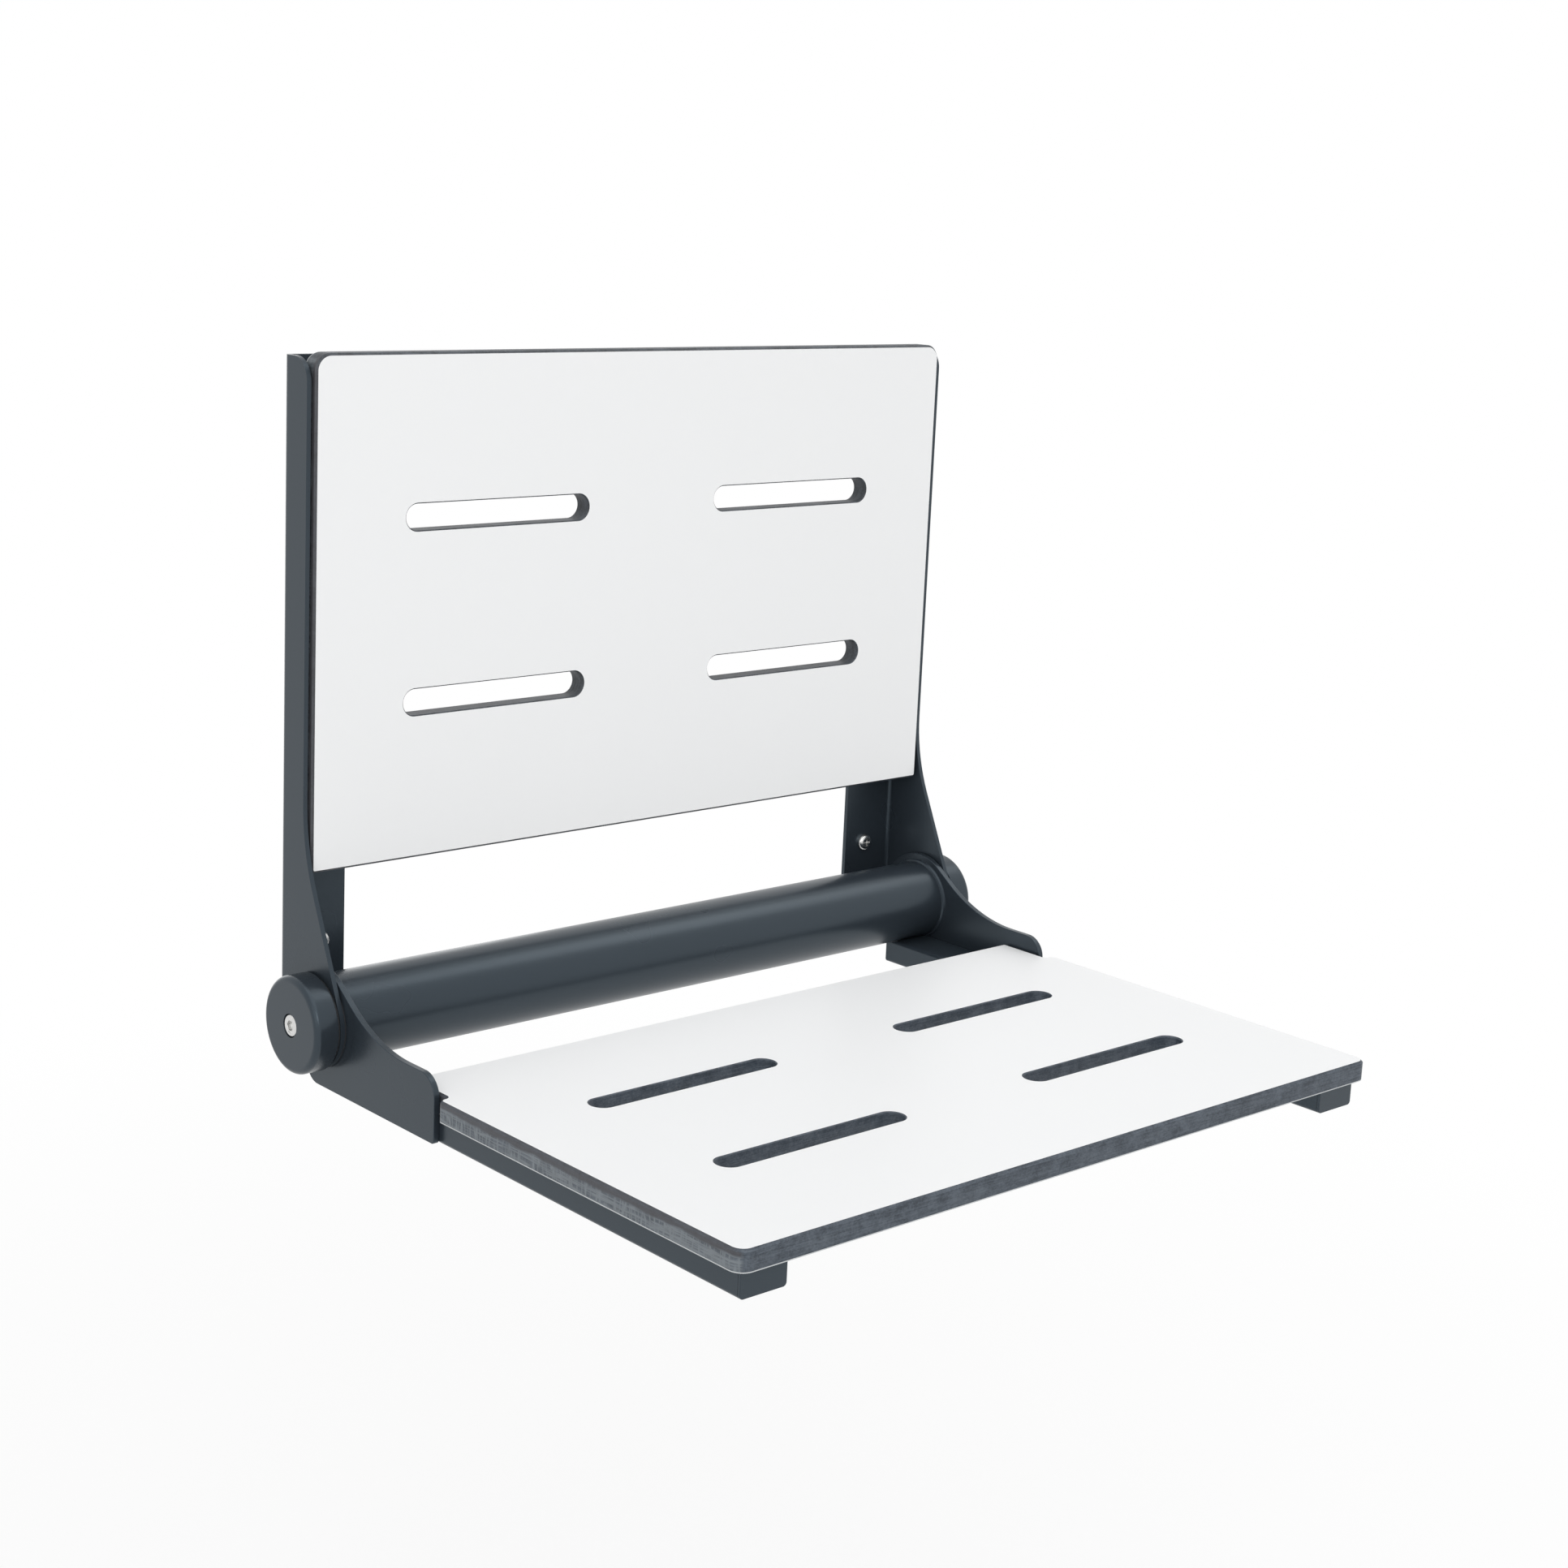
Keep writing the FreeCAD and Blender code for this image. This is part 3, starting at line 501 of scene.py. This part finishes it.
@dataclass
class Softener:
    """Makes a copy of a solid's surface whose sharp edges are rounded."""

    join_gap: float = 2e-6
    flat_angle: float = math.radians(0.6)
    edge_angle: float = math.radians(38.0)
    segments: int = 3
    levelling_weight: int = 100

    def soften(self, node: str, radius_mm: float) -> bpy.types.Object:
        """Make the rounded copy, ride it on the node's body and hide the node.

        Args:
            node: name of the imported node.
            radius_mm: radius of the rounded edges.

        Returns:
            The new piece.
        """
        source = frame["nodes"][node]
        shape = bmesh.new()
        shape.from_mesh(source.data)
        bmesh.ops.remove_doubles(shape, verts=shape.verts, dist=self.join_gap)
        bmesh.ops.dissolve_limit(shape, angle_limit=self.flat_angle, verts=shape.verts,
                                 edges=shape.edges, use_dissolve_boundaries=False)
        mesh = bpy.data.meshes.new(node + "_surface")
        shape.to_mesh(mesh)
        shape.free()
        mesh.shade_smooth()
        piece = bpy.data.objects.new(node + "_softened", mesh)
        bpy.context.scene.collection.objects.link(piece)
        rounding = piece.modifiers.new("rounding", "BEVEL")
        rounding.width = radius_mm * MM
        rounding.segments = self.segments
        rounding.limit_method = "ANGLE"
        rounding.angle_limit = self.edge_angle
        rounding.use_clamp_overlap = True
        rounding.miter_outer = "MITER_ARC"
        levelling = piece.modifiers.new("levelling", "WEIGHTED_NORMAL")
        levelling.weight = self.levelling_weight
        bpy.context.view_layer.update()
        finished = bpy.data.meshes.new_from_object(
            piece.evaluated_get(bpy.context.evaluated_depsgraph_get()))
        piece.modifiers.clear()
        piece.data = finished
        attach(piece, source["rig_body"])
        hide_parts(node)
        return piece


@dataclass
class Assembly:
    """Base of the sub-assemblies: softens, dresses and reports pieces."""

    softener: Softener = field(default_factory=Softener)

    def finish_solid(self, node: str, material: bpy.types.Material) -> None:
        """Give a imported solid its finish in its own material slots."""
        solid = frame["nodes"][node]
        if not solid.material_slots:
            solid.data.materials.append(material)
        for place in solid.material_slots:
            place.material = material
        LOG.info("finished solid %s", node)

    def finish_softened(self, node: str, radius_mm: float, material: bpy.types.Material,
                        record_slot: str) -> bpy.types.Object:
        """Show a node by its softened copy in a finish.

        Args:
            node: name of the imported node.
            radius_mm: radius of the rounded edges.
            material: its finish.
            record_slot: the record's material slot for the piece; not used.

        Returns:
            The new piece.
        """
        piece = self.softener.soften(node, radius_mm)
        piece.data.materials.clear()
        piece.data.materials.append(material)
        LOG.info("softened %s", node)
        return piece


@dataclass
class SlottedPanels(Assembly):
    """Seat and backrest panels."""

    edge_mm: float = 0.25
    # Painted shade: the backrest's cut edges get darker core colours than the same board on the
    # seat, standing in for the shade on those edges.
    painted_shade_core: tuple[Colour, Colour] = ((0.012, 0.016, 0.021), (0.066, 0.078, 0.094))

    def build(self) -> None:
        """Dress both panels."""
        for node, through in (("seat_panel", Thickness.SEAT),
                              ("backrest_panel", Thickness.BACKREST)):
            low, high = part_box(node)
            axis = through.value
            board = CompactLaminate(node + "_laminate", through, low[axis], high[axis])
            # painted shade: the backrest's edge core is drawn darker than the seat's, though the
            # board is the same
            if through is Thickness.BACKREST:
                board = replace(board, core_dark=self.painted_shade_core[0], core_light=self.painted_shade_core[1])
            self.finish_softened(node, self.edge_mm, board.build(), "panel_laminate")


@dataclass
class SteelFrame(Assembly):
    """Powder coated brackets, arms and cross tube."""

    plate_edge_mm: float = 0.45
    tube_edge_mm: float = 0.3
    coat: PowderCoat = PowderCoat("slate_powder_coat", (0.024, 0.031, 0.039), 0.29)
    plates: tuple[str, ...] = ("wall_bracket", "backrest_cleats", "arm_plate")
    tubes: tuple[str, ...] = ("arm_tube", "arm_front_end", "arm_rear_end", "tube_weld")

    def build(self) -> None:
        """Dress the frame's pieces on both sides."""
        coat = self.coat.build()
        for side in ("left_", "right_"):
            for name in self.plates:
                self.finish_softened(side + name, self.plate_edge_mm, coat, "frame_coat")
            for name in self.tubes:
                self.finish_softened(side + name, self.tube_edge_mm, coat, "frame_coat")
        self.finish_softened("cross_tube", self.tube_edge_mm, coat, "frame_coat")


@dataclass
class HingeSet(Assembly):
    """End caps, friction parts, axles, stop pins, disc springs and bushes."""

    cap_edge_mm: float = 0.3
    cap_coat: PowderCoat = PowderCoat("cap_powder_coat", (0.026, 0.033, 0.041), 0.25)
    turned: Steel = Steel("turned_steel", (0.56, 0.56, 0.57), 0.28, (1800.0, 40.0, 40.0))
    lining: Moulded = Moulded("friction_lining", (0.030, 0.031, 0.033), 0.75)
    bush: Moulded = Moulded("bush_nylon", (0.62, 0.61, 0.57), 0.5)

    def build(self) -> None:
        """Dress the hinge pieces on both sides."""
        cap = self.cap_coat.build()
        turned = self.turned.build()
        lining = self.lining.build()
        bush = self.bush.build()
        for side in ("left_", "right_"):
            self.finish_softened(side + "end_cap", self.cap_edge_mm, cap, "cap_coat")
            for name in ("axle", "stop_pin", "disc_springs"):
                self.finish_solid(side + name, turned)
            for name in ("friction_ring", "friction_facing"):
                self.finish_solid(side + name, lining)
            self.finish_solid(side + "hinge_bush", bush)


@dataclass
class Fasteners(Assembly):
    """Screws, inserts and hole plugs."""

    bright: Steel = Steel("stainless_steel", (0.74, 0.74, 0.73), 0.16)
    brass: Steel = Steel("insert_brass", (0.72, 0.55, 0.27), 0.3)
    plug: Moulded = Moulded("plug_plastic", (0.045, 0.050, 0.056), 0.55)
    head_edge_mm: float = 0.2

    def build(self) -> None:
        """Dress the small pieces."""
        bright = self.bright.build()
        brass = self.brass.build()
        for node in ("left_cap_screw", "right_cap_screw", "wall_screws"):
            self.finish_softened(node, self.head_edge_mm, bright, "stainless")
        for node in ("backrest_hanger_screws", "seat_screws"):
            self.finish_solid(node, bright)
        for node in ("backrest_inserts", "seat_inserts"):
            self.finish_solid(node, brass)
        self.finish_solid("arm_hole_plugs", self.plug.build())


@dataclass
class PhotoCamera:
    """Camera solved from the straight edges and circles of the photograph."""

    focal_pixels: float = 3212.17
    centre_pixels: tuple[float, float] = (855.35, 868.25)
    yaw: float = -40.551
    pitch: float = -11.266
    roll: float = 2.234
    place: Triple = (-1.08019, -1.34182, 0.21016)
    reach: float = 200.0

    def build(self) -> bpy.types.Object:
        """Make the camera and set it as the scene's.

        Returns:
            The camera.
        """
        yaw, pitch, roll = (math.radians(a) for a in (self.yaw, self.pitch, self.roll))
        ahead = Vector((-math.sin(yaw) * math.cos(pitch), math.cos(yaw) * math.cos(pitch),
                        math.sin(pitch)))
        level = Vector((math.cos(yaw), math.sin(yaw), 0.0))
        above = level.cross(ahead)
        right = math.cos(roll) * level + math.sin(roll) * above
        up = math.cos(roll) * above - math.sin(roll) * level
        turn = Matrix((right, up, -ahead)).transposed().to_4x4()
        lens = bpy.data.cameras.new("photo_camera")
        lens.sensor_width = SENSOR_MM
        lens.lens = self.focal_pixels / PHOTO_PIXELS * SENSOR_MM
        lens.shift_x = 0.5 - self.centre_pixels[0] / PHOTO_PIXELS
        lens.shift_y = self.centre_pixels[1] / PHOTO_PIXELS - 0.5
        lens.clip_end = self.reach
        camera = bpy.data.objects.new("photo_camera", lens)
        camera.matrix_world = Matrix.Translation(self.place) @ turn
        bpy.context.scene.collection.objects.link(camera)
        bpy.context.scene.camera = camera
        return camera


@dataclass
class Studio:
    """Pale floor, white surroundings and soft lamps."""

    floor_drop: float = 0.42
    floor_half: float = 40.0
    floor_colour: Colour = (0.9, 0.9, 0.9)
    floor_roughness: float = 0.9
    sky: float = 0.66
    shown_white: float = 1.0
    floor_glow: float = 0.8
    shadow_near: float = 0.6
    shadow_far: float = 1.6
    aim: Triple = (0.0, -0.2, -0.2)
    lamps: tuple[tuple[str, Triple, float, float], ...] = (
        ("top_lamp", (-0.3, -0.9, 2.0), 2.4, 15.0),
        ("side_lamp", (1.36, -0.42, 1.5), 0.9, 4.5),
        ("left_lamp", (-2.3, -1.3, 0.6), 1.6, 4.5),
        ("front_lamp", (-1.1, -2.3, 0.9), 1.0, 10.0),
        ("back_lamp", (0.5, 2.2, -0.2), 1.8, 7.0),
    )

    def build(self) -> None:
        """Make the floor, the world and the lamps."""
        self._floor()
        self._world()
        target = Vector(self.aim)
        for name, place, width, power in self.lamps:
            self._lamp(name, Vector(place), target, width, power)

    def _floor(self) -> None:
        """Lay the floor under the seat and keep the shadow on it."""
        low, _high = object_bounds()
        half = self.floor_half
        level = low[2] - self.floor_drop
        mesh = bpy.data.meshes.new("studio_floor")
        outline = [(-half, -half, level), (half, -half, level), (half, half, level),
                   (-half, half, level)]
        mesh.from_pydata(outline, [], [(0, 1, 2, 3)])
        floor = bpy.data.objects.new("studio_floor", mesh)
        bpy.context.scene.collection.objects.link(floor)
        shader = Shader("pale_floor")
        shader.dress(Base_Color=self.floor_colour, Roughness=self.floor_roughness)
        rays = shader.tree.nodes.new("ShaderNodeLightPath")
        seen = Value(shader, self._shown_rays(shader.tree, rays))
        away = shader.add("ShaderNodeVectorMath", {"operation": "LENGTH"},
                          {0: shader.place()}, "Value")
        share = shader.add("ShaderNodeMapRange", {"interpolation_type": "SMOOTHSTEP"}, {
            "Value": away, "From Min": self.shadow_near, "From Max": self.shadow_far,
            "To Min": self.floor_glow, "To Max": 1.0})
        glow = shader.add("ShaderNodeEmission", {}, {"Strength": self.shown_white})
        mixed = shader.add("ShaderNodeMixShader", {}, {
            0: seen * share, 1: Value(shader, shader.surface.outputs[0]), 2: glow})
        below = shader.add("ShaderNodeNewGeometry", {}, {}, "Backfacing")
        clear = shader.add("ShaderNodeBsdfTransparent", {}, {})
        sided = shader.add("ShaderNodeMixShader", {}, {0: below, 1: mixed, 2: clear})
        shader.join(sided.socket, shader.output.inputs["Surface"])
        mesh.materials.append(shader.material)
        floor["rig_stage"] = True

    def _world(self) -> None:
        """Light the seat softly and show white to the camera."""
        world = bpy.data.worlds.new("studio_world")
        bpy.context.scene.world = world
        world.use_nodes = True
        tree = world.node_tree
        tree.nodes.clear()
        output = tree.nodes.new("ShaderNodeOutputWorld")
        rays = tree.nodes.new("ShaderNodeLightPath")
        light = self._background(tree, self.sky)
        white = self._background(tree, self.shown_white)
        shown = self._shown_rays(tree, rays)
        mix = tree.nodes.new("ShaderNodeMixShader")
        tree.links.new(shown, mix.inputs[0])
        tree.links.new(light, mix.inputs[1])
        tree.links.new(white, mix.inputs[2])
        tree.links.new(mix.outputs[0], output.inputs["Surface"])

    @staticmethod
    def _background(tree: bpy.types.NodeTree, strength: float) -> bpy.types.NodeSocket:
        """Add a white background of a given strength."""
        background = tree.nodes.new("ShaderNodeBackground")
        background.inputs["Color"].default_value = (1.0, 1.0, 1.0, 1.0)
        background.inputs["Strength"].default_value = strength
        return background.outputs[0]

    @staticmethod
    def _shown_rays(tree: bpy.types.NodeTree, rays: bpy.types.Node) -> bpy.types.NodeSocket:
        """Pick out camera, glossy and transmitted rays.

        Args:
            tree: the tree to add to.
            rays: its Light Path node.

        Returns:
            A socket that is 1 for those rays.
        """
        shown = rays.outputs["Is Camera Ray"]
        for name in ("Is Glossy Ray", "Is Transmission Ray"):
            larger = tree.nodes.new("ShaderNodeMath")
            larger.operation = "MAXIMUM"
            tree.links.new(shown, larger.inputs[0])
            tree.links.new(rays.outputs[name], larger.inputs[1])
            shown = larger.outputs[0]
        return shown

    @staticmethod
    def _lamp(name: str, place: Vector, target: Vector, width: float, power: float) -> None:
        """Hang one square soft lamp that looks at the target."""
        data = bpy.data.lights.new(name, "AREA")
        data.size = width
        data.energy = power
        lamp = bpy.data.objects.new(name, data)
        lamp.location = place
        lamp.rotation_euler = (target - place).to_track_quat("-Z", "Y").to_euler()
        bpy.context.scene.collection.objects.link(lamp)


def main() -> None:
    """Build the looks in order."""
    logging.basicConfig(level=logging.INFO, format="%(message)s")
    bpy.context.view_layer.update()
    bpy.context.scene.view_settings.view_transform = "Standard"
    PhotoCamera().build()
    for assembly in (SlottedPanels(), SteelFrame(), HingeSet(), Fasteners()):
        assembly.build()
        LOG.info("built %s", type(assembly).__name__)
    Studio().build()


if __name__ == "__main__":
    main()
